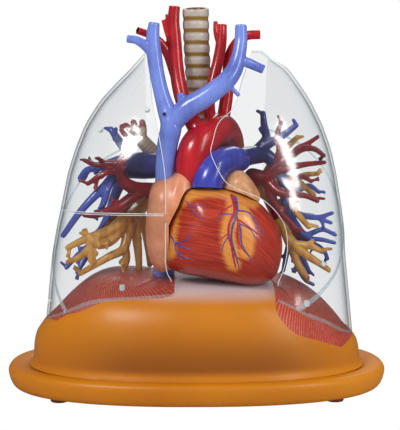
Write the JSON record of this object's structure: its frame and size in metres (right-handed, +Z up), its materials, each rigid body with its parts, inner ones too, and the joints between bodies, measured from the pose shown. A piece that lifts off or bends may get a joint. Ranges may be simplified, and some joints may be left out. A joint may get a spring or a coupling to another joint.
{
  "type": "heart and lung model",
  "caption": "Classroom heart and lung model: clear lung lobes that pull off round a painted heart, vessels and bronchial tree, on a domed diaphragm and an oval base.",
  "frame": {"origin": "middle of the oval footprint, on the surface that the feet stand on", "axes": "+Z up; +X to the viewer's right as seen from the front, which is the model's own left; +Y from front to back"},
  "size_m": [0.348, 0.22, 0.3511],
  "materials": {
    "ochre": "satin sprayed ochre",
    "dome_red": "painted muscle red with pale stripes",
    "foot_brown": "matt",
    "clear_plastic": "clear, glossy",
    "heart_muscle": "painted, semi-gloss",
    "pale_plastic": "satin",
    "deep_blue": "painted, semi-gloss",
    "artery_red": "painted, semi-gloss",
    "vein_blue": "painted, semi-gloss",
    "atrium_peach": "painted, satin",
    "airway_tan": "painted, satin",
    "lung_vein_red": "painted, semi-gloss"
  },
  "bodies": {
    "stand": {"base_plate": "ochre", "diaphragm": "ochre", "right_dome": "dome_red", "left_dome": "dome_red", "front_right_foot": "foot_brown", "front_left_foot": "foot_brown", "back_right_foot": "foot_brown", "back_left_foot": "foot_brown", "right_dome_stud": "clear_plastic", "left_dome_stud": "clear_plastic", "heart_back": "heart_muscle", "right_papillary_muscle": "heart_muscle", "left_papillary_muscle": "heart_muscle", "lower_wall_peg": "pale_plastic", "upper_wall_peg": "pale_plastic", "tricuspid_valve": "pale_plastic", "mitral_valve": "pale_plastic", "aortic_valve": "pale_plastic", "pulmonary_valve": "pale_plastic", "pulmonary_trunk": "deep_blue", "right_pulmonary_artery": "deep_blue", "left_pulmonary_artery": "deep_blue", "aorta": "artery_red", "right_carotid_artery": "artery_red", "left_carotid_artery": "artery_red", "left_subclavian_artery": "artery_red", "superior_vena_cava": "vein_blue", "left_neck_vein": "vein_blue", "inferior_vena_cava": "vein_blue", "right_atrium": "atrium_peach", "left_auricle": "atrium_peach", "left_atrium": "atrium_peach", "trachea": "airway_tan", "right_bronchi": "airway_tan", "left_bronchi": "airway_tan", "right_pulmonary_veins": "lung_vein_red", "left_pulmonary_veins": "lung_vein_red"},
    "heart_front_wall": {"heart_front_wall": "heart_muscle"},
    "right_upper_lobe": {"right_upper_lobe": "clear_plastic", "right_upper_plug": "clear_plastic", "right_apex_plug": "clear_plastic"},
    "right_middle_lobe": {"right_middle_lobe": "clear_plastic"},
    "right_lower_lobe": {"right_lower_lobe": "clear_plastic", "right_rim_plug": "clear_plastic"},
    "left_upper_lobe": {"left_upper_lobe": "clear_plastic", "left_fissure_plug": "clear_plastic"},
    "left_lower_lobe": {"left_lower_lobe": "clear_plastic"}
  },
  "joints": [
    {"name": "heart_front_wall_slide", "type": "slide", "parent": "stand", "child": "heart_front_wall", "axis": [0, -1, 0], "range_m": [0, 0.09]},
    {"name": "right_upper_lobe_slide", "type": "slide", "parent": "stand", "child": "right_upper_lobe", "axis": [-1, 0, 0], "range_m": [0, 0.15]},
    {"name": "right_middle_lobe_slide", "type": "slide", "parent": "stand", "child": "right_middle_lobe", "axis": [0, -1, 0], "range_m": [0, 0.12]},
    {"name": "right_lower_lobe_slide", "type": "slide", "parent": "stand", "child": "right_lower_lobe", "axis": [-0.9119, 0.4104, 0], "range_m": [0, 0.15]},
    {"name": "left_upper_lobe_slide", "type": "slide", "parent": "stand", "child": "left_upper_lobe", "axis": [1, 0, 0], "range_m": [0, 0.15]},
    {"name": "left_lower_lobe_slide", "type": "slide", "parent": "stand", "child": "left_lower_lobe", "axis": [0.9119, 0.4104, 0], "range_m": [0, 0.15]}
  ]
}
